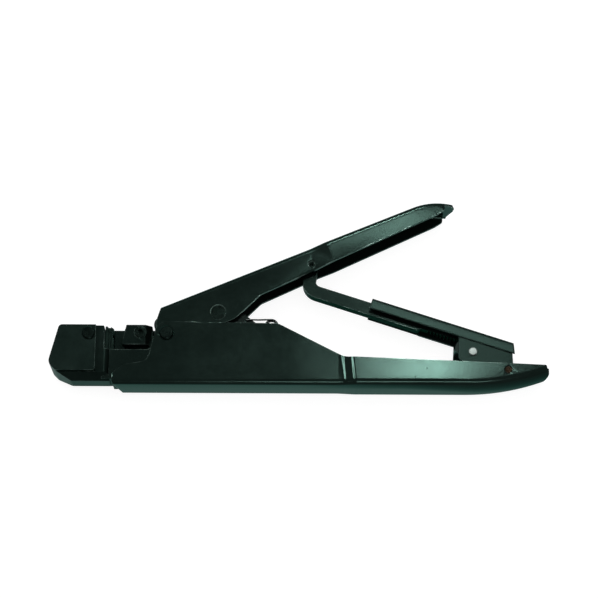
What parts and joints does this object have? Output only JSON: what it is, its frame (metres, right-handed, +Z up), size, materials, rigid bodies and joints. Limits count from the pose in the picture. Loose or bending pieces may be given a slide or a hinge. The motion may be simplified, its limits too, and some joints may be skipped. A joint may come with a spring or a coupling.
{
  "type": "hand crimp tool",
  "caption": "Hand crimp tool with a solid die nose, two pressed channel handles and a telescoping ratchet strut between them.",
  "frame": {"origin": "middle of the underside of the tool as it lies on its side, handles open", "axes": "+X from the nose towards the grips, +Y from the lower handle towards the upper handle, +Z up through the tool's thickness, along every pivot"},
  "size_m": [0.239, 0.0922, 0.023],
  "materials": {
    "pressed_steel": "near-black satin oxide finish with a faint green tint",
    "machined_steel": "black oxide on machined steel, satin",
    "rod_steel": "black oxide on cold drawn bar, rubbed lighter where it slides",
    "hardened_steel": "dark hardened steel",
    "pin_steel": "black oxide on turned steel",
    "bright_rivet": "bright, lightly brushed",
    "spring_wire": "dark oiled spring wire",
    "die_steel": "ground tool steel, darkened"
  },
  "bodies": {
    "frame": {"lower_handle": "pressed_steel", "die_frame": "machined_steel", "nose_cover": "machined_steel", "nose_pin": "pin_steel", "insulation_anvil": "die_steel", "anvil_spacer": "die_steel", "wire_anvil": "die_steel", "anvil_dowel": "pin_steel", "main_pivot_pin": "pin_steel", "pivot_ring": "pin_steel", "sleeve_pivot_pin": "pin_steel", "sleeve_pin_spacers": "pin_steel", "return_spring": "spring_wire"},
    "upper_grip": {"upper_handle": "pressed_steel", "drive_lever": "hardened_steel", "lever_rivet": "pin_steel", "drive_pin": "hardened_steel", "rod_pivot_pin": "pin_steel", "rod_spacers": "pin_steel"},
    "rod": {"ratchet_rod": "rod_steel"},
    "sleeve": {"ratchet_sleeve": "pressed_steel", "bracket_near": "pressed_steel", "bracket_far": "pressed_steel", "pawl_rivet": "bright_rivet", "pawl_spring": "spring_wire"},
    "pawl": {"pawl": "hardened_steel"},
    "ram": {"ram": "machined_steel", "wire_crimper": "die_steel", "insulation_crimper": "die_steel", "crimper_holder": "machined_steel", "holder_screw": "pin_steel"}
  },
  "joints": [
    {"name": "handle_pivot", "type": "hinge", "parent": "frame", "child": "upper_grip", "pos_m": [-0.0637, -0.02111, 0.0115], "axis": [0, 0, -1], "range_deg": [0, 17], "stiffness_Nm_per_rad": 1.2, "springref_deg": -20.05, "deforming": ["return_spring"]},
    {"name": "rod_pivot", "type": "hinge", "parent": "upper_grip", "child": "rod", "pos_m": [0.00566, 0.01412, 0.0115], "axis": [0, 0, 1], "range_deg": [0, 28]},
    {"name": "sleeve_pivot", "type": "hinge", "parent": "frame", "child": "sleeve", "pos_m": [0.0992, -0.03901, 0.0115], "axis": [0, 0, 1], "range_deg": [0, 11]},
    {"name": "pawl_swing", "type": "hinge", "parent": "sleeve", "child": "pawl", "pos_m": [0.08296, -0.02884, 0.0115], "axis": [0, 0, 1], "range_deg": [0, 20], "stiffness_Nm_per_rad": 0.01, "springref_deg": -17.19, "deforming": ["pawl_spring"]},
    {"name": "ram_slide", "type": "slide", "parent": "frame", "child": "ram", "axis": [-1, 0, 0], "range_m": [0, 0.0048]}
  ],
  "couplings": [
    {"joint": "rod_pivot", "follows": "handle_pivot", "ratio": 1.63},
    {"joint": "sleeve_pivot", "follows": "handle_pivot", "ratio": 0.63},
    {"joint": "ram_slide", "follows": "handle_pivot", "m_per_rad": 0.0159}
  ]
}
